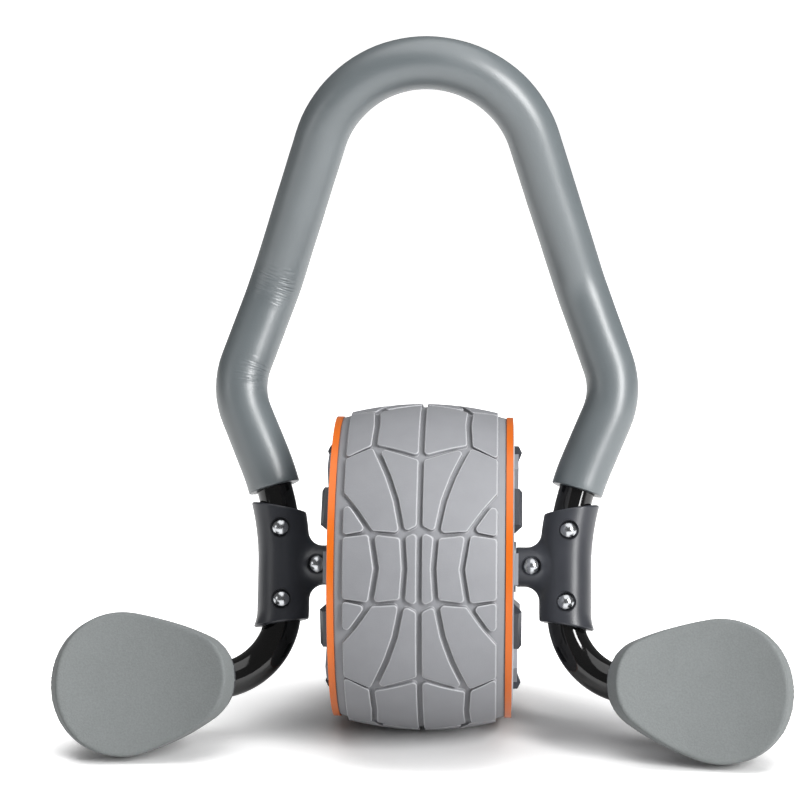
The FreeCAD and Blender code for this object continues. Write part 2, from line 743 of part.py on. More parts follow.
def handle_bolt_place():
    return tilt_point(math.asin(size.bolt_height / size.splay_radius)).x, size.bolt_height


elbow_bolt_place = (size.joint_spacing, -size.bolt_height)
bolt_bore = size.bolt_radius + size.fit_clearance
through = 2 * size.barrel_radius


# The handle's tube and foam

inside_tube = "tube_radius - tube_wall"
handle_solid = sweep("handle_solid", handle_edges(size.socket_web), "tube_radius")
handle_bore = sweep("handle_bore", handle_edges(size.socket_web), inside_tube)
handle_place = handle_bolt_place()
handle_ends = [handle_place, (-handle_place[0], handle_place[1])]
handle_drill = cross_rods("handle_drill", handle_ends, bolt_bore, -through, through)
handle_tube = less("handle_tube", handle_solid, [handle_bore, handle_drill])
keep(handle_tube, "handle_tube", True)

foam_solid = sweep("foam_solid", handle_edges(size.foam_start), "foam_radius")
foam_bore = sweep("foam_bore", handle_edges(size.foam_start), "tube_radius")
keep(less("handle_foam", foam_solid, [foam_bore]), "handle_foam", True)


# The T-joints

barrel_high = math.asin((size.barrel_top + size.barrel_radius) / size.splay_radius)
barrel_low = math.asin((size.barrel_bottom + size.barrel_radius - size.elbow_drop) / size.elbow_radius)


def barrel_edges():
    """The middle of the barrel, drawn past both of its ends."""
    straight = Part.LineSegment(tilt_point(0), elbow_point(0)).toShape()
    return [bend(tilt_point, barrel_high, 0), straight, bend(elbow_point, 0, barrel_low)]


def barrel_end(x, height):
    """A point on the slanted end of the barrel, at a height that holds in its middle."""
    longer = (x - size.joint_spacing) * math.tan(math.radians(size.barrel_slant))
    return Vector(x, 0, height + math.copysign(1, height) * longer)


def joint_block():
    """What the T-joint keeps: a block from the wheel's middle outwards, with sloping ends."""
    outer = size.joint_spacing + 2 * size.barrel_radius
    top, bottom = size.barrel_top, -size.barrel_bottom
    corners = [barrel_end(0, top), barrel_end(outer, top), barrel_end(outer, bottom), barrel_end(0, bottom)]
    face = Part.Face(Part.makePolygon(corners + corners[:1]))
    return face.extrude(Vector(0, 2 * through, 0)).translated(Vector(0, -through, 0))


def bolt_seats(name):
    """Recesses for the bolt heads in front and the nuts behind."""
    barrel_seat = size.barrel_radius - size.bolt_seat_depth
    arm_seat = size.arm_radius - size.bolt_seat_depth
    places = [handle_place + (barrel_seat,), elbow_bolt_place + (barrel_seat,)]
    places += [(size.arm_bolt_place, 0, arm_seat)]
    rods = []
    for x, z, seat in places:
        for side in (-1, 1):
            rods.append(rod(size.bolt_seat_radius, Vector(x, side * seat, z), Vector(x, side * through, z)))
    return solid(name, Part.Compound(rods))


barrel = sweep("barrel", barrel_edges(), "barrel_radius", 180)
arm = doc.addObject("Part::Cylinder", "arm")
bind(arm, Radius="arm_radius", Height=f"joint_spacing - {arm_end}")
arm_facing = Rotation(Vector(0, 0, 1), Vector(1, 0, 0)) * Rotation(Vector(0, 0, 1), 90)
arm.Placement = Placement(Vector(number(arm_end), 0, 0), arm_facing)
rough = doc.addObject("Part::MultiFuse", "rough_joint")
rough.Shapes = [barrel, arm]
doc.recompute()


neck = doc.addObject("Part::Fillet", "joint_neck")
neck.Base = rough
neck.Edges = [
    (index, size.joint_fillet, size.joint_fillet)
    for index, edge in enumerate(rough.Shape.Edges, start=1)
    if isinstance(edge.Curve, Part.BSplineCurve)
]
trimmed = doc.addObject("Part::Common", "trimmed_joint")
trimmed.Base = neck
trimmed.Tool = solid("joint_block", joint_block())
doc.recompute()


def open_ends(shape):
    """The edges of the flat ends, as numbers with the radius to round them by."""
    rims = [edge for face in shape.Faces if isinstance(face.Surface, Part.Plane) for edge in face.Edges]
    found = []
    for index, edge in enumerate(shape.Edges, start=1):
        if any(edge.isSame(rim) for rim in rims):
            found.append((index, size.joint_rim, size.joint_rim))
    return found


fillet = doc.addObject("Part::Fillet", "joint_rims")
fillet.Base = trimmed
fillet.Edges = open_ends(trimmed.Shape)

upper_bore = sweep("upper_bore", [bend(
    tilt_point,
    math.asin(size.socket_web / size.splay_radius),
    barrel_high,
)], "tube_radius + fit_clearance")
lower_bore = sweep("lower_bore", [
    Part.LineSegment(Vector(size.joint_spacing, 0, -size.socket_web), elbow_point(0)).toShape(),
    bend(elbow_point, 0, barrel_low),
], "tube_radius + fit_clearance")
arm_bore = doc.addObject("Part::Cylinder", "arm_bore")
bind(arm_bore, Radius="axle_radius + fit_clearance", Height="arm_socket")
arm_bore.Placement = arm.Placement
joint_drill = cross_rods(
    "joint_drill", [handle_place, elbow_bolt_place, (size.arm_bolt_place, 0)], bolt_bore, -through, through)
joint = less("t_joint", fillet, [upper_bore, lower_bore, arm_bore, bolt_seats("seats"), joint_drill])
both_sides(joint, "t_joint", True)


def joint_bolt(x, z, radius):
    """A domed bolt from the front; the shank ends inside the nut behind."""
    seat = radius - size.bolt_seat_depth
    shank = rod(size.bolt_radius, Vector(x, seat + size.nut_bore, z), Vector(x, -seat, z))
    dome = (size.bolt_head_radius ** 2 + size.bolt_head_height ** 2) / (2 * size.bolt_head_height)
    ball = Part.makeSphere(dome, Vector(x, dome - seat - size.bolt_head_height, z))
    front = rod(size.bolt_head_radius, Vector(x, -seat, z), Vector(x, -seat - size.bolt_head_height, z))
    return ball.common(front).fuse(shank).removeSplitter()


def joint_nut(x, z, radius):
    """A domed nut, with a blind bore for the shank."""
    seat = radius - size.bolt_seat_depth
    body = rod(size.bolt_head_radius, Vector(x, seat, z), Vector(x, seat + size.nut_height, z))
    body = body.makeFillet(size.nut_round, [body.Edges[0]])
    bore = rod(size.bolt_radius, Vector(x, seat, z), Vector(x, seat + size.nut_bore, z))
    return body.cut(bore)


bolt_places = [handle_place + (size.barrel_radius,), elbow_bolt_place + (size.barrel_radius,)]
bolt_places += [(size.arm_bolt_place, 0, size.arm_radius)]
bolts = [joint_bolt(*at) for at in bolt_places]
nuts = [joint_nut(*at) for at in bolt_places]
keep(solid("bolts", Part.Compound(bolts + [flipped(b) for b in bolts])), "joint_bolts", True)
keep(solid("nuts", Part.Compound(nuts + [flipped(n) for n in nuts])), "joint_nuts", True)


# The elbow pads: outline, hollow, plate, saddle and bolts

broad_place = size.rest_outer - size.rest_broad_radius
narrow_place = size.rest_inner + size.rest_narrow_radius
rest_middle = (size.rest_outer + size.rest_inner) / 2
hollow_back = size.rest_trough + size.rest_thickness
hollow_axis = size.rest_back + hollow_back
rim_depth = math.sqrt(hollow_back ** 2 - size.rest_length ** 2 / 4)
lean_angle = math.radians(size.lean)


def back_of_foam(x):
    return hollow_axis - math.sqrt(hollow_back ** 2 - (x - rest_middle) ** 2)


floor_drop = size.wheel_radius + back_of_foam(broad_place) * math.sin(lean_angle)
rest_height = size.rest_broad_radius - floor_drop / math.cos(lean_angle)


def egg(inset):
    """The pad's outline: a broad and a narrow round end joined by bulging sides."""
    broad = Vector(broad_place, 0, rest_height)
    narrow = Vector(narrow_place, 0, rest_height + size.rest_rise)
    along = narrow - broad
    length = along.Length
    along.normalize()
    across = Vector(-along.z, 0, along.x)
    to_broad = size.rest_side_radius - size.rest_broad_radius
    to_narrow = size.rest_side_radius - size.rest_narrow_radius
    foot = (to_broad ** 2 - to_narrow ** 2 + length ** 2) / (2 * length)
    lift = math.sqrt(to_broad ** 2 - foot ** 2)
    centres = [broad + along * foot + across * side for side in (lift, -lift)]

    def rim(centre, radius, way):
        return centre + Vector(way).normalize() * (radius - inset)

    edges = []
    for centre in centres:
        points = [broad, (broad + narrow) / 2, narrow]
        edges.append(Part.Arc(*[rim(centre, size.rest_side_radius, at - centre) for at in points]))
    for end, radius, way in ((broad, size.rest_broad_radius, -along), (narrow, size.rest_narrow_radius, along)):
        ways = [end - centres[0], way, end - centres[1]]
        edges.append(Part.Arc(*[rim(end, radius, turn) for turn in ways]))
    return Part.Wire(Part.sortEdges([edge.toShape() for edge in edges])[0])


def hollow_cylinder(radius):
    reach = 4 * size.rest_broad_radius
    base = Vector(rest_middle, -hollow_axis, rest_height - reach)
    return rod(radius, base, base + Vector(0, 0, 2 * reach))


def hollow_slab(inset, front, back):
    """A bent sheet round the hollow's axis, with its edge cut square to its faces."""
    rims = []
    for depth in (front / 2, back * 2):
        across = depth / rim_depth
        stretch = FreeCAD.Matrix()
        stretch.A11 = across
        stretch.A14 = rest_middle * (1 - across)
        stretch.A24 = depth - hollow_axis
        rims.append(Part.Wire(egg(inset).transformGeometry(stretch).Edges))
    column = Part.makeLoft(rims, True, True)
    return column.common(hollow_cylinder(back)).cut(hollow_cylinder(front))


plate_back = hollow_back + size.plate_thickness
saddle_place = rest_middle
pad_bolt_places = [saddle_place - size.pad_bolt_spacing / 2, saddle_place + size.pad_bolt_spacing / 2]


def elbow_axis(x):
    """The elbow tube's middle behind the pad."""
    end = elbow_point(math.radians(size.elbow_turn))
    ahead = elbow_direction()
    return end + ahead * ((x - end.x) / ahead.x)


def pad_bolt(x):
    middle = elbow_axis(x)
    toe = math.radians(size.elbow_toe)
    seat = middle.y + size.tube_radius / math.cos(toe) + size.pad_bolt_head_radius * math.tan(toe)
    tip = Vector(x, -size.rest_back, middle.z)
    under = Vector(x, seat, middle.z)
    head = rod(size.pad_bolt_head_radius, under, under + Vector(0, size.pad_bolt_head_height, 0))
    head = head.makeFillet(size.pad_bolt_round, [head.Edges[0]])
    return head.fuse(rod(size.pad_bolt_radius, under, tip)).removeSplitter()


def pad_drill(name):
    radius = size.pad_bolt_radius + size.fit_clearance
    places = [(x, elbow_axis(x).z) for x in pad_bolt_places]
    return cross_rods(name, places, radius, -through, hollow_axis)


elbow_solid = sweep("elbow_solid", elbow_edges(size.socket_web, size.elbow_reach), "tube_radius")
elbow_bore = sweep("elbow_bore", elbow_edges(size.socket_web, size.elbow_reach), inside_tube)
elbow_drill = cross_rods("elbow_drill", [elbow_bolt_place], bolt_bore, -through, through)
elbow_tube = less("elbow_tube", elbow_solid, [elbow_bore, elbow_drill, pad_drill("elbow_pad_drill")])
both_sides(elbow_tube, "elbow_tube", True)

plug_end = elbow_axis(size.elbow_reach)
plug_way = elbow_direction()
plug_shape = rod(size.tube_radius - size.tube_wall, plug_end - plug_way * size.plug_depth, plug_end)
plug_cap = rod(size.tube_radius, plug_end, plug_end + plug_way * size.plug_cap)
plug = solid("tube_plug", plug_shape.fuse(plug_cap).removeSplitter())
both_sides(plug, "tube_plug", True)

saddle_low = Vector(
    saddle_place - size.saddle_half_length,
    -hollow_axis,
    elbow_axis(saddle_place).z - size.saddle_half_height,
)
saddle_block = Part.makeBox(
    2 * size.saddle_half_length,
    hollow_axis + elbow_axis(saddle_place).y,
    2 * size.saddle_half_height,
    saddle_low,
)
saddle_blank = solid("saddle_blank", saddle_block.cut(hollow_cylinder(plate_back)))
saddle_seat = sweep("saddle_seat", elbow_edges(size.socket_web, 2 * size.elbow_reach), "tube_radius")
saddle = less("pad_saddle", saddle_blank, [saddle_seat, pad_drill("saddle_drill")])
both_sides(saddle, "pad_saddle", True)

plate_blank = solid("plate_blank", hollow_slab(size.plate_inset, hollow_back, plate_back))
both_sides(less("pad_plate", plate_blank, [pad_drill("plate_drill")]), "pad_plate", True)


def pad_foam():
    """The foam, with its front edge rounded."""
    block = hollow_slab(0, size.rest_trough, hollow_back)
    for face in block.Faces:
        if isinstance(face.Surface, Part.Cylinder) and math.isclose(face.Surface.Radius, size.rest_trough):
            return block.makeFillet(size.rest_round, face.Edges)
    raise RuntimeError("the pad's hollow was not found")


both_sides(solid("pad_foam", pad_foam()), "pad_foam", True)

pad_bolts = [pad_bolt(x) for x in pad_bolt_places]
pad_bolt_set = solid("pad_bolt_set", Part.Compound(pad_bolts + [flipped(b) for b in pad_bolts]))
keep(pad_bolt_set, "pad_bolts", True)


# Check every object, then write each piece to its own file

doc.recompute()
for item in doc.Objects:
    if "Invalid" in item.State or "Error" in item.State:
        raise RuntimeError(f"{item.Label} failed to build")
for piece in pieces:
    if piece.Shape.isNull() or not piece.Shape.isValid():
        raise RuntimeError(f"{piece.Label} has no valid shape")

os.makedirs("parts", exist_ok=True)
for piece in pieces:
    piece.Shape.exportStep(f"parts/{piece.Label}.step")
    print(f"{piece.Label}: {len(piece.Shape.Solids)} solids, {piece.Shape.Volume / 1000:.1f} cm3")
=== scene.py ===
import math

import bmesh
import bpy
from mathutils import Matrix, Vector, noise


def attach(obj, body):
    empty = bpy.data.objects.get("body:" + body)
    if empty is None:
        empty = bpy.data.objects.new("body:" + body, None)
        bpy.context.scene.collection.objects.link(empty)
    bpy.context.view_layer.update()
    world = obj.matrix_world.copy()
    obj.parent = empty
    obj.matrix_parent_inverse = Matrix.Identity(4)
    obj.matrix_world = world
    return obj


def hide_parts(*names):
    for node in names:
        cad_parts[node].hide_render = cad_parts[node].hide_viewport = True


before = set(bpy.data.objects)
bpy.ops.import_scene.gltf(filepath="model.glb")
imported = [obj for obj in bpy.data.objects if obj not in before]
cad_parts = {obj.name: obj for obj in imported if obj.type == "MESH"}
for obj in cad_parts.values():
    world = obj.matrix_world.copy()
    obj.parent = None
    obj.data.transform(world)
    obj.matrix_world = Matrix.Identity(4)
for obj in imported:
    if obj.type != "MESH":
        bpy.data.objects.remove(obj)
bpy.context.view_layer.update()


# Wheel drum: the hub inside the tyre, with a flange at each side for the covers.
# Glass-filled polypropylene, injection moulded in black and hidden once the tyre is on.
def linear(code):
    """An sRGB hex colour as linear RGBA."""
    levels = [int(code[i:i + 2], 16) / 255 for i in (1, 3, 5)]
    return [v / 12.92 if v <= 0.04045 else ((v + 0.055) / 1.055) ** 2.4 for v in levels] + [1]


def add_node(tree, kind, inputs, **settings):
    """Adds a node, with each input set to a value or linked to another node's socket."""
    made = tree.nodes.new(kind)
    for name, value in settings.items():
        setattr(made, name, value)
    for name, value in inputs.items():
        if isinstance(value, bpy.types.NodeSocket):
            tree.links.new(value, made.inputs[name])
        else:
            made.inputs[name].default_value = value
    return made


def new_finish(name, **sockets):
    """A material with these shader values; gives it, its tree, its shader and Object coordinates."""
    material = bpy.data.materials.new(name)
    material.use_nodes = True
    tree = material.node_tree
    shader = tree.nodes["Principled BSDF"]
    for socket, value in sockets.items():
        shader.inputs[socket.replace("_", " ")].default_value = value
    place = add_node(tree, "ShaderNodeTexCoord", {}).outputs["Object"]
    return material, tree, shader, place


def moulded(name, dark, light, roughness, grain, depth):
    """A moulded plastic: its colour clouds between two tones, above a mould grain in metres."""
    cloud_size = 0.014
    roughness_play = 0.06
    material, tree, shader, place = new_finish(name, IOR=1.5)
    cloud = add_node(
        tree, "ShaderNodeTexNoise", {"Vector": place, "Scale": 1 / cloud_size, "Detail": 4.0}
    ).outputs["Fac"]
    tone = add_node(
        tree, "ShaderNodeMix", {0: cloud, 6: linear(dark), 7: linear(light)}, data_type="RGBA"
    )
    sheen = add_node(
        tree,
        "ShaderNodeMapRange",
        {"Value": cloud, "To Min": roughness - roughness_play, "To Max": roughness + roughness_play},
    )
    # A mould's grain is finer than a millimetre, and drawn as coarse as it needs to show.
    pits = add_node(
        tree, "ShaderNodeTexNoise", {"Vector": place, "Scale": 1 / grain, "Detail": 2.0}
    )
    relief = add_node(
        tree,
        "ShaderNodeBump",
        {"Height": pits.outputs["Fac"], "Distance": depth, "Strength": 1.0},
    )
    tree.links.new(tone.outputs[2], shader.inputs["Base Color"])
    tree.links.new(sheen.outputs["Result"], shader.inputs["Roughness"])
    tree.links.new(relief.outputs["Normal"], shader.inputs["Normal"])
    return material


def dress(material, *names):
    """Gives these CAD nodes the material."""
    for name in names:
        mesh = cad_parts[name].data
        mesh.materials.clear()
        mesh.materials.append(material)


# Moulded black polypropylene: a dull, slightly cloudy black.
dress(moulded("black_polypropylene", "#1f2022", "#2a2b2d", 0.55, 0.0009, 0.00004), "wheel_drum")


# Tyre: the broad tread of blocks and grooves that grips the floor.
# Thermoplastic rubber, moulded over the drum; its block edges are rounded by the mould.
# Soft grey rubber: matt and a little dusty, with a painted highlight where the rounded block edges
# catch the light.
rubber, tree, shader, place = new_finish("moulded_grey_rubber", IOR=1.5)
edge_round = 0.0013
rounded = add_node(tree, "ShaderNodeBevel", {"Radius": edge_round}, samples=8).outputs["Normal"]
flat = add_node(tree, "ShaderNodeNewGeometry", {}).outputs["Normal"]
facing = add_node(
    tree, "ShaderNodeVectorMath", {0: rounded, 1: flat}, operation="DOT_PRODUCT"
)
# Painted highlight: where the rounded block edges turn, the colour is painted paler, as light would
# catch them.
painted_edge_light = add_node(
    tree,
    "ShaderNodeMapRange",
    {
        "Value": facing.outputs["Value"],
        "From Min": 1.0,
        "From Max": 0.88,
        "To Min": 0.0,
        "To Max": 0.85,
    },
)
dust = add_node(
    tree, "ShaderNodeTexNoise", {"Vector": place, "Scale": 1 / 0.011, "Detail": 6.0}
).outputs["Fac"]
body = add_node(
    tree, "ShaderNodeMix", {0: dust, 6: linear("#85868a"), 7: linear("#919296")}, data_type="RGBA"
)
skin = add_node(
    tree,
    "ShaderNodeMix",
    {0: painted_edge_light.outputs["Result"], 6: body.outputs[2], 7: linear("#d2d3d7")},
    data_type="RGBA",
)
# The mould's blasted grain is 0.2 mm, drawn at 0.7 mm so that it shows.
blasted = add_node(
    tree, "ShaderNodeTexNoise", {"Vector": place, "Scale": 1 / 0.0007, "Detail": 2.0}
)
relief = add_node(
    tree,
    "ShaderNodeBump",
    {"Height": blasted.outputs["Fac"], "Distance": 0.00006, "Strength": 1.0, "Normal": rounded},
)
dull = add_node(
    tree, "ShaderNodeMapRange", {"Value": dust, "To Min": 0.52, "To Max": 0.68}
)
# Painted shade: the corners of the grooves, close to a block's wall, are painted darker.
groove_shade_reach = 0.0025
nook = add_node(tree, "ShaderNodeAmbientOcclusion", {"Distance": groove_shade_reach}, samples=8).outputs["AO"]
painted_groove_shade = add_node(
    tree,
    "ShaderNodeMapRange",
    {"Value": nook, "From Min": 0.45, "From Max": 0.85, "To Min": 0.75, "To Max": 0.0},
)
shade_in_grooves = add_node(
    tree,
    "ShaderNodeMix",
    {0: painted_groove_shade.outputs["Result"], 6: skin.outputs[2], 7: linear("#3c3c3f")},
    data_type="RGBA",
)
tree.links.new(shade_in_grooves.outputs[2], shader.inputs["Base Color"])
tree.links.new(dull.outputs["Result"], shader.inputs["Roughness"])
tree.links.new(relief.outputs["Normal"], shader.inputs["Normal"])
dress(rubber, "tyre")


# Trim rings: the narrow bright bands at the tyre's two edges.
# ABS, moulded in orange and snapped over the drum's flanges.
# Orange ABS: clean and satin, with an even colour.
orange = moulded("orange_abs", "#d2620a", "#da6b10", 0.36, 0.0008, 0.00002)
dress(orange, "left_trim_ring", "right_trim_ring")


# Side covers: the domed wheel sides, each with a ring of low pads.
# ABS, moulded in mid grey and screwed to the drum.
# Grey ABS: satin, with a faint cool tint.
grey_abs = moulded("grey_abs", "#8a8b91", "#97989e", 0.4, 0.0008, 0.00003)
dress(grey_abs, "left_side_cover", "right_side_cover")


# Cover fins: six wedge-shaped ribs on each side, between the pads.
# ABS, moulded in charcoal and pressed into slots in the cover.
# Charcoal ABS: a dark satin with a soft edge of light.
charcoal = moulded("charcoal_abs", "#2e3036", "#393b42", 0.36, 0.0008, 0.00003)
dress(charcoal, "left_cover_fins", "right_cover_fins")


# Cover screws, axle and washers: the hardware that holds the wheel together and carries it.
# Mild steel, turned or cold headed and zinc plated.
def plated(name, dark, light, roughness, streak):
    """A plated metal: its shine changes in streaks of this length in metres."""
    material, tree, shader, place = new_finish(name, Metallic=1.0)
    drawn = add_node(
        tree, "ShaderNodeTexNoise", {"Vector": place, "Scale": 1 / streak, "Detail": 5.0}
    ).outputs["Fac"]
    tone = add_node(
        tree, "ShaderNodeMix", {0: drawn, 6: linear(dark), 7: linear(light)}, data_type="RGBA"
    )
    polish = add_node(
        tree,
        "ShaderNodeMapRange",
        {"Value": drawn, "To Min": roughness * 0.7, "To Max": roughness * 1.3},
    )
    relief = add_node(
        tree, "ShaderNodeBump", {"Height": drawn, "Distance": 0.00001, "Strength": 0.6}
    )
    tree.links.new(tone.outputs[2], shader.inputs["Base Color"])
    tree.links.new(polish.outputs["Result"], shader.inputs["Roughness"])
    tree.links.new(relief.outputs["Normal"], shader.inputs["Normal"])
    return material


# Zinc plate: a cool grey metal with a soft, uneven shine.
zinc = plated("zinc_plated_steel", "#a3a6aa", "#bcbfc3", 0.3, 0.0015)
dress(zinc, "cover_screws", "axle", "left_axle_washer", "right_axle_washer")


# Bushes: the plain bearings that the wheel turns on.
# Acetal, turned from white rod and pressed into the covers' hubs.
# Natural acetal: a waxy off-white.
acetal = moulded("natural_acetal", "#d9d8d0", "#e4e3dc", 0.34, 0.0012, 0.00002)
dress(acetal, "left_bush", "right_bush")


# Spring arbor: the sleeve on the axle that the spring winds on.
# Nylon, turned from black rod and pushed on the axle.
# Black nylon: smooth, with a low waxy shine.
dress(moulded("black_nylon", "#1b1c1e", "#242527", 0.42, 0.0012, 0.00002), "spring_arbor")


# Rebound spring: the flat coil that winds up as the wheel rolls out, and pulls it back.
# Blued spring-steel strip, wound round the arbor.
# Blued spring steel: a dark blue-grey metal with an oily shine.
blued = plated("blued_spring_steel", "#4b515b", "#616874", 0.26, 0.003)
dress(blued, "rebound_spring")


# T-joints: the moulded clamps where the axle, the handle and the elbow tubes meet.
# Glass-filled nylon, moulded in charcoal with a satin skin; each takes three bolts.
# Glass-filled nylon: dark grey, with a fine mould grain and broad satin lights.
nylon = moulded("glass_filled_nylon", "#2e3035", "#393b41", 0.36, 0.0007, 0.00003)
dress(nylon, "left_t_joint", "right_t_joint")


# Joint bolts and nuts: domed heads that pin the axle and the tubes in the T-joints.
# Mild steel, cold headed and chrome plated.
# Worn chrome: a grey mirror with a soft haze.
chrome = plated("chrome_plate", "#a6a8ab", "#b8babd", 0.22, 0.01)
dress(chrome, "joint_bolts", "joint_nuts")


# Handle tube and elbow tubes: the bent frame that joins the grips and pads to the T-joints.
# Drawn steel tube of 20 mm, powder coated in gloss black; each end is bolted in its joint.
# Gloss powder coat: near black and mirror-like, with a fine orange peel.
coat, tree, shader, place = new_finish("gloss_black_powder_coat", IOR=1.5)
# Orange peel is about 2 mm from crest to crest.
peel = add_node(
    tree, "ShaderNodeTexNoise", {"Vector": place, "Scale": 1 / 0.002, "Detail": 1.0}
).outputs["Fac"]
film = add_node(
    tree, "ShaderNodeTexNoise", {"Vector": place, "Scale": 1 / 0.02, "Detail": 3.0}
).outputs["Fac"]
black = add_node(
    tree, "ShaderNodeMix", {0: film, 6: linear("#0b0b0b"), 7: linear("#131313")}, data_type="RGBA"
)
gloss = add_node(tree, "ShaderNodeMapRange", {"Value": film, "To Min": 0.06, "To Max": 0.1})
ripple = add_node(
    tree, "ShaderNodeBump", {"Height": peel, "Distance": 0.00002, "Strength": 0.6}
)
tree.links.new(black.outputs[2], shader.inputs["Base Color"])
tree.links.new(gloss.outputs["Result"], shader.inputs["Roughness"])
tree.links.new(ripple.outputs["Normal"], shader.inputs["Normal"])
dress(coat, "handle_tube", "left_elbow_tube", "right_elbow_tube")


# Handle foam: the soft grip that covers the whole bow of the handle.
# A sleeve of closed-cell nitrile rubber foam, blown on over the bent tube and cut square at its ends.
sleeve_radius = 0.0145
sleeve_wall = 0.0044
sleeve_sides = 56
ring_step = 0.004
lean = math.radians(18)
axle_height = 0.09
joint_offset = 0.078
sleeve_foot = 0.043
splay_radius = 0.15
splay_pivot = Vector((joint_offset + splay_radius, 0, 0))
splay_from = math.asin(sleeve_foot / splay_radius)
splay_to = math.radians(23)
hip = Vector((0.107, 0, 0.0989))
fold = Vector((0.0863, 0, 0.1568))
far_fold = Vector((-fold.x, fold.y, fold.z))
bow_height = 0.2688
bow_tilt = math.radians(25)
peak = fold + Vector((-fold.x, -bow_height * math.sin(bow_tilt), bow_height * math.cos(bow_tilt)))
hip_radius = 0.042
fold_radius = 0.055
bow_radius = 0.0623
corners = [(hip, hip_radius, fold), (fold, fold_radius, peak), (peak, bow_radius, far_fold)]

sleeve = bmesh.new()
along = sleeve.verts.layers.float.new("along")
walked = 0.0


def next_ring(made, step):
    """The edges of the newest ring, with how far along the sleeve it lies kept on its points."""
    global walked
    walked += step
    edges = [item for item in made if isinstance(item, bmesh.types.BMEdge)]
    for edge in edges:
        for vert in edge.verts:
            vert[along] = walked
    return edges


def draw_out(ring, run):
    """Draws the sleeve's open end out along a straight run."""
    steps = max(1, round(run.length / ring_step))
    for _ in range(steps):
        made = bmesh.ops.extrude_edge_only(sleeve, edges=ring)["geom"]
        ends = [item for item in made if isinstance(item, bmesh.types.BMVert)]
        bmesh.ops.translate(sleeve, verts=ends, vec=run / steps)
        rim = [e for e in made if isinstance(e, bmesh.types.BMEdge) and set(e.verts) <= set(ends)]
        ring = next_ring(rim, run.length / steps)
    return ring


def bend(ring, pivot, axis, angle, radius):
    """Bends the sleeve's open end about a pivot."""
    steps = max(1, round(angle * radius / ring_step))
    for _ in range(steps):
        made = bmesh.ops.spin(
            sleeve, geom=ring, cent=pivot, axis=axis, angle=angle / steps, steps=1, use_duplicate=False
        )["geom_last"]
        ring = next_ring(made, angle * radius / steps)
    return ring


here = splay_pivot + splay_radius * Vector((-math.cos(splay_from), 0, math.sin(splay_from)))
bmesh.ops.create_circle(
    sleeve,
    cap_ends=False,
    segments=sleeve_sides,
    radius=sleeve_radius,
    matrix=Matrix.Translation(here) @ Matrix.Rotation(splay_from, 4, "Y"),
)
ring = bend(list(sleeve.edges), splay_pivot, Vector((0, 1, 0)), splay_to - splay_from, splay_radius)
here = splay_pivot + splay_radius * Vector((-math.cos(splay_to), 0, math.sin(splay_to)))
heading = (hip - here).normalized()
for corner, radius, target in corners:
    onward = (target - corner).normalized()
    turn = heading.angle(onward)
    setback = radius * math.tan(turn / 2)
    start = corner - heading * setback
    inward = (onward - heading * heading.dot(onward)).normalized()
    ring = draw_out(ring, start - here)
    # The last bend stops half way round, in the middle of the bow.
    share = 0.5 if corner == peak else 1.0
    ring = bend(ring, start + inward * radius, heading.cross(onward), turn * share, radius)
    here = corner + onward * setback
    heading = onward
half = sleeve.verts[:] + sleeve.edges[:] + sleeve.faces[:]
bmesh.ops.mirror(sleeve, geom=half, axis="X", merge_dist=0.0002)
bmesh.ops.recalc_face_normals(sleeve, faces=sleeve.faces[:])
bmesh.ops.rotate(sleeve, verts=sleeve.verts[:], cent=(0, 0, 0), matrix=Matrix.Rotation(-lean, 3, "X"))
bmesh.ops.translate(sleeve, verts=sleeve.verts[:], vec=(0, 0, axle_height))
# The foam is creased where the left leg folds forward and round the inside of its hip, in fine
# wrinkles across the sleeve, a millimetre or two apart.  Its rings are closer there.
upright = Matrix.Translation((0, 0, axle_height)) @ Matrix.Rotation(-lean, 4, "X")
pinches = (
    (upright @ Vector((-fold.x + 0.0026, -sleeve_radius, fold.z - 0.001)), 0.01),
    (upright @ Vector((-hip.x + 0.0115, -0.0116, hip.z + 0.006)), 0.009),
)
wrinkle_step = 0.001
wrinkle_length = 0.006
wrinkle_depth = 0.0004
wrinkle_rings = 9
least_pinch = 0.1


def pinch(point):
    """How strongly the foam is creased at a point, from 0 to 1."""
    return max(math.exp(-(((point - centre).length / reach) ** 2)) for centre, reach in pinches)


lengthwise = [
    edge
    for edge in sleeve.edges
    if abs(edge.verts[0][along] - edge.verts[1][along]) > ring_step / 4
    and min(pinch(vert.co) for vert in edge.verts) > least_pinch
]
bmesh.ops.subdivide_edges(sleeve, edges=lengthwise, cuts=wrinkle_rings, use_grid_fill=True)
mesh = bpy.data.meshes.new("foam_sleeve")
sleeve.to_mesh(mesh)
sleeve.free()
for polygon in mesh.polygons:
    polygon.use_smooth = True
grip = bpy.data.objects.new("foam_sleeve", mesh)
bpy.context.scene.collection.objects.link(grip)
bore = grip.vertex_groups.new(name="bore")
swell = bpy.data.textures.new("foam_swell", "CLOUDS")
swell.noise_scale = 0.03
uneven = grip.modifiers.new("uneven", "DISPLACE")
uneven.texture = swell
uneven.texture_coords = "LOCAL"
uneven.strength = 0.0005
uneven.mid_level = 0.5
wall = grip.modifiers.new("wall", "SOLIDIFY")
wall.thickness = sleeve_wall
wall.offset = -1
wall.shell_vertex_group = bore.name
cut_edge = grip.modifiers.new("cut_edge", "BEVEL")
cut_edge.width = 0.0007
cut_edge.segments = 3
cut_edge.limit_method = "ANGLE"
cut_edge.angle_limit = math.radians(50)
graph = bpy.context.evaluated_depsgraph_get()
grip.data = bpy.data.meshes.new_from_object(
    grip.evaluated_get(graph), preserve_all_data_layers=True, depsgraph=graph
)
grip.modifiers.clear()
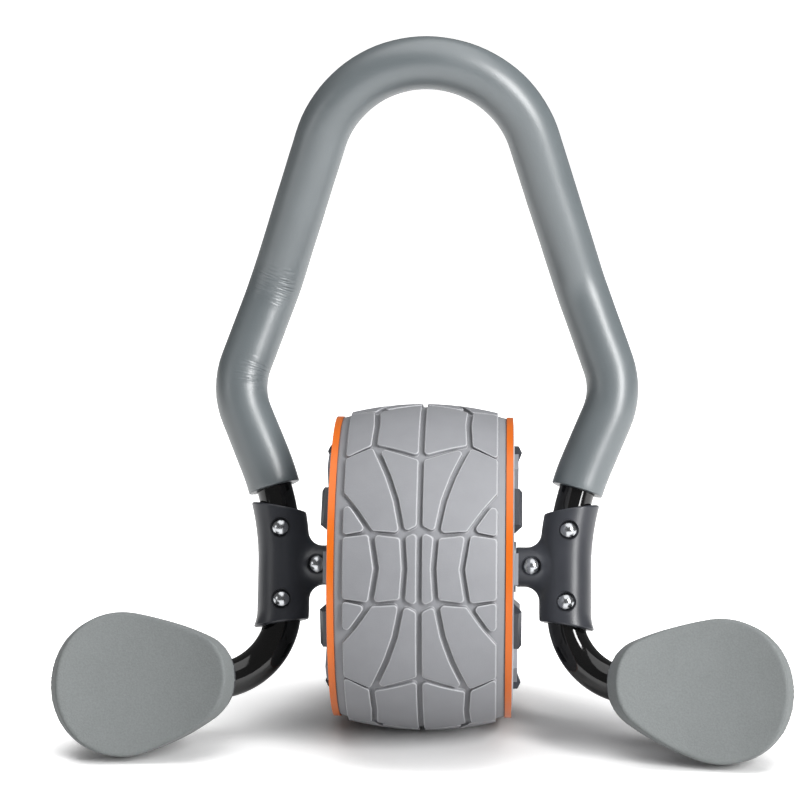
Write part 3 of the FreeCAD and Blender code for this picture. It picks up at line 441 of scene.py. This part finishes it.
# Only the outer skin is creased; the bore keeps to the tube.
creased = bmesh.new()
creased.from_mesh(grip.data)
along = creased.verts.layers.float["along"]
groups = creased.verts.layers.deform.verify()
for vert in creased.verts:
    if vert[groups].get(bore.index, 0.0) < 0.5:
        lay = Vector(
            (vert.co.x / wrinkle_length, vert.co.y / wrinkle_length, vert[along] / wrinkle_step)
        )
        vert.co += vert.normal * (pinch(vert.co) * wrinkle_depth * noise.noise(lay))
creased.verts.layers.float.remove(along)
creased.to_mesh(grip.data)
creased.free()
grip.vertex_groups.clear()

# Nitrile foam: a soft grey with a satin skin and fine cells.
nitrile, tree, shader, place = new_finish("nitrile_rubber_foam", IOR=1.5, Specular_IOR_Level=1.0)
cloud = add_node(
    tree, "ShaderNodeTexNoise", {"Vector": place, "Scale": 1 / 0.025, "Detail": 4.0}
).outputs["Fac"]
grey = add_node(
    tree, "ShaderNodeMix", {0: cloud, 6: linear("#5c6366"), 7: linear("#666d70")}, data_type="RGBA"
)
# The cells are about 0.3 mm, drawn at 0.8 mm so that they show.
cells = add_node(
    tree, "ShaderNodeTexNoise", {"Vector": place, "Scale": 1 / 0.0008, "Detail": 2.0}
)
relief = add_node(
    tree,
    "ShaderNodeBump",
    {"Height": cells.outputs["Fac"], "Distance": 0.00005, "Strength": 1.0},
)
satin = add_node(tree, "ShaderNodeMapRange", {"Value": cloud, "To Min": 0.35, "To Max": 0.43})
tree.links.new(grey.outputs[2], shader.inputs["Base Color"])
tree.links.new(satin.outputs["Result"], shader.inputs["Roughness"])
tree.links.new(relief.outputs["Normal"], shader.inputs["Normal"])
grip.data.materials.clear()
grip.data.materials.append(nitrile)
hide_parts("handle_foam")
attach(grip, "frame")


# Tube plugs and pad saddles: the caps in the elbow tubes' ends and the seats between tube and plate.
# Polypropylene, moulded in black; the plug is pushed in and the saddle is clamped by the pad's bolts.
# Black polypropylene: the drum's plastic, here with a coarser grain.
fittings = moulded("black_polypropylene_fittings", "#1d1e20", "#28292b", 0.5, 0.001, 0.00005)
dress(fittings, "left_tube_plug", "right_tube_plug", "left_pad_saddle", "right_pad_saddle")


# Pad plates: the stiff backs of the elbow pads.
# ABS sheet of 3 mm, pressed hollow and bolted to the saddle.
# Dark grey ABS sheet: a hair-cell grain and a low shine.
sheet = moulded("hair_cell_abs_sheet", "#393b3e", "#45474a", 0.48, 0.0012, 0.00008)
dress(sheet, "left_pad_plate", "right_pad_plate")


# Elbow pads: the hollowed egg-shaped rests for the forearms.
# Closed-cell EVA foam, cut from sheet, pressed hollow in a hot mould and glued to the plate.
# EVA foam: matt mid grey, with a fine even speckle of cells.
eva, tree, shader, place = new_finish("pressed_eva_foam", IOR=1.45, Sheen_Weight=0.1)
cloud = add_node(
    tree, "ShaderNodeTexNoise", {"Vector": place, "Scale": 1 / 0.02, "Detail": 3.0}
).outputs["Fac"]
# The cells are about 0.3 mm, drawn at 0.9 mm so that they show.
speckle = add_node(
    tree, "ShaderNodeTexNoise", {"Vector": place, "Scale": 1 / 0.0009, "Detail": 3.0}
).outputs["Fac"]
grey = add_node(
    tree, "ShaderNodeMix", {0: cloud, 6: linear("#6c7070"), 7: linear("#767a7a")}, data_type="RGBA"
)
flecks = add_node(
    tree,
    "ShaderNodeMapRange",
    {"Value": speckle, "From Min": 0.3, "From Max": 0.7, "To Min": 0.0, "To Max": 0.22},
)
skin = add_node(
    tree,
    "ShaderNodeMix",
    {0: flecks.outputs["Result"], 6: grey.outputs[2], 7: linear("#949898")},
    data_type="RGBA",
)
relief = add_node(
    tree, "ShaderNodeBump", {"Height": speckle, "Distance": 0.00012, "Strength": 1.0}
)
matt = add_node(tree, "ShaderNodeMapRange", {"Value": cloud, "To Min": 0.7, "To Max": 0.82})
tree.links.new(skin.outputs[2], shader.inputs["Base Color"])
tree.links.new(matt.outputs["Result"], shader.inputs["Roughness"])
tree.links.new(relief.outputs["Normal"], shader.inputs["Normal"])
for side in ("left", "right"):
    pad = bmesh.new()
    pad.from_mesh(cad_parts[side + "_pad_foam"].data)
    bmesh.ops.remove_doubles(pad, verts=pad.verts[:], dist=0.00002)
    mesh = bpy.data.meshes.new(side + "_elbow_pad")
    pad.to_mesh(mesh)
    pad.free()
    rest = bpy.data.objects.new(side + "_elbow_pad", mesh)
    bpy.context.scene.collection.objects.link(rest)
    cells = rest.modifiers.new("cells", "REMESH")
    cells.mode = "VOXEL"
    cells.voxel_size = 0.0009
    soften = rest.modifiers.new("soften", "SMOOTH")
    soften.factor = 0.5
    soften.iterations = 2
    graph = bpy.context.evaluated_depsgraph_get()
    rest.data = bpy.data.meshes.new_from_object(rest.evaluated_get(graph))
    rest.modifiers.clear()
    for polygon in rest.data.polygons:
        polygon.use_smooth = True
    rest.data.materials.clear()
    rest.data.materials.append(eva)
    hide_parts(side + "_pad_foam")
    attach(rest, "frame")


# Pad bolts: two through each elbow tube and saddle into the pad plate.
# Mild steel, cold headed and chrome plated like the joint bolts.
dress(chrome, "pad_bolts")


# Floor: a white studio sweep, which stays white to the eye behind the object and keeps its shadow.
# White painted board: matt, with a trace of roller stipple.
paint, tree, shader, place = new_finish("matt_white_paint")
ray = add_node(tree, "ShaderNodeLightPath", {})
seen = add_node(
    tree,
    "ShaderNodeMath",
    {0: ray.outputs["Is Camera Ray"], 1: ray.outputs["Is Glossy Ray"]},
    operation="ADD",
)
seen = add_node(
    tree,
    "ShaderNodeMath",
    {0: seen.outputs["Value"], 1: ray.outputs["Is Transmission Ray"]},
    operation="ADD",
    use_clamp=True,
).outputs["Value"]
stipple = add_node(
    tree, "ShaderNodeTexNoise", {"Vector": place, "Scale": 1 / 0.004, "Detail": 2.0}
).outputs["Fac"]
white = add_node(
    tree, "ShaderNodeMix", {0: stipple, 6: linear("#f0f0f0"), 7: linear("#f3f3f3")}, data_type="RGBA"
)
# The board throws less light back on the object than the eye sees, so that the object keeps its shade.
shaded = add_node(
    tree, "ShaderNodeMix", {0: seen, 6: linear("#d0d0d0"), 7: white.outputs[2]}, data_type="RGBA"
)
board = add_node(tree, "ShaderNodeBsdfDiffuse", {"Color": shaded.outputs[2]})
# A painted glow brightens it away from the shadow under the wheel, which lies a little to the right,
# and does so sooner in front and behind than to the sides.
shadow_stretch = (1.0, 1.6, 0.0)
shadow_shift = (-0.03, 0.0, 0.0)
oval = add_node(
    tree,
    "ShaderNodeVectorMath",
    {0: place, 1: shadow_stretch, 2: shadow_shift},
    operation="MULTIPLY_ADD",
)
away = add_node(tree, "ShaderNodeVectorMath", {0: oval.outputs["Vector"]}, operation="LENGTH")
far = add_node(
    tree,
    "ShaderNodeMapRange",
    {"Value": away.outputs["Value"], "From Min": 0.05, "From Max": 0.24},
    interpolation_type="SMOOTHSTEP",
)
# Where the wheel and the pads touch it, the painted glow fades, so the board keeps the lamps' real
# shadow, made deeper there as a painted contact shadow.
contact_reach = 0.055
open_air = add_node(tree, "ShaderNodeAmbientOcclusion", {"Distance": contact_reach}).outputs["AO"]
clear = add_node(tree, "ShaderNodeMapRange", {"Value": open_air, "From Min": 0.55, "From Max": 0.9})
lift = add_node(
    tree,
    "ShaderNodeMath",
    {0: far.outputs["Result"], 1: clear.outputs["Result"]},
    operation="MULTIPLY",
)
lift = add_node(tree, "ShaderNodeMath", {0: seen, 1: lift.outputs["Value"]}, operation="MULTIPLY")
glow = add_node(
    tree, "ShaderNodeEmission", {"Color": linear("#ffffff"), "Strength": lift.outputs["Value"]}
)
both = add_node(tree, "ShaderNodeAddShader", {0: board.outputs["BSDF"], 1: glow.outputs["Emission"]})
tree.links.new(both.outputs["Shader"], tree.nodes["Material Output"].inputs["Surface"])
board_reach = 40.0
just_under = Matrix.Translation((0, 0, -0.0006))
sweep = bmesh.new()
bmesh.ops.create_grid(sweep, x_segments=1, y_segments=1, size=board_reach, matrix=just_under)
mesh = bpy.data.meshes.new("floor")
sweep.to_mesh(mesh)
sweep.free()
mesh.materials.append(paint)
floor = bpy.data.objects.new("floor", mesh)
bpy.context.scene.collection.objects.link(floor)


# Light: a dim even room, with a tall soft box on the right, a weak one on the left and one above.
room_strength = 0.18
lit_point = Vector((0, 0, 0.15))
world = bpy.data.worlds.new("studio_room")
bpy.context.scene.world = world
world.use_nodes = True
world.node_tree.nodes["Background"].inputs["Color"].default_value = linear("#ffffff")
world.node_tree.nodes["Background"].inputs["Strength"].default_value = room_strength
for name, stand, width, height, power in (
    ("right_box", (1.55, -1.5, 1.2), 0.5, 1.6, 66.0),
    ("left_box", (-1.8, -0.9, 0.7), 0.7, 0.7, 3.5),
    ("top_box", (0.15, -0.2, 2.1), 2.2, 2.2, 28.0),
):
    lamp = bpy.data.lights.new(name, "AREA")
    lamp.shape = "RECTANGLE"
    lamp.size = width
    lamp.size_y = height
    lamp.energy = power
    box = bpy.data.objects.new(name, lamp)
    box.location = stand
    box.rotation_euler = (lit_point - Vector(stand)).to_track_quat("-Z", "Y").to_euler()
    bpy.context.scene.collection.objects.link(box)
bpy.context.scene.view_settings.view_transform = "Standard"


# Camera: in front, a little above and to the right, with a long lens.
frame_pixels = 800
focal_pixels = 2450
distance = 1.359
pitch = math.radians(10.15)
swing = math.radians(2.42)
axle_at = (424.4, 566.1)
lens = bpy.data.cameras.new("camera")
lens.sensor_width = 36
lens.lens = lens.sensor_width * focal_pixels / frame_pixels
camera = bpy.data.objects.new("camera", lens)
camera.rotation_euler = (math.radians(90) - pitch, 0, swing)
turned = camera.rotation_euler.to_matrix()
across = (axle_at[0] - frame_pixels / 2) / focal_pixels * distance
down = (axle_at[1] - frame_pixels / 2) / focal_pixels * distance
camera.location = Vector((0, 0, axle_height)) + turned @ Vector((-across, down, distance))
bpy.context.scene.collection.objects.link(camera)
bpy.context.scene.camera = camera
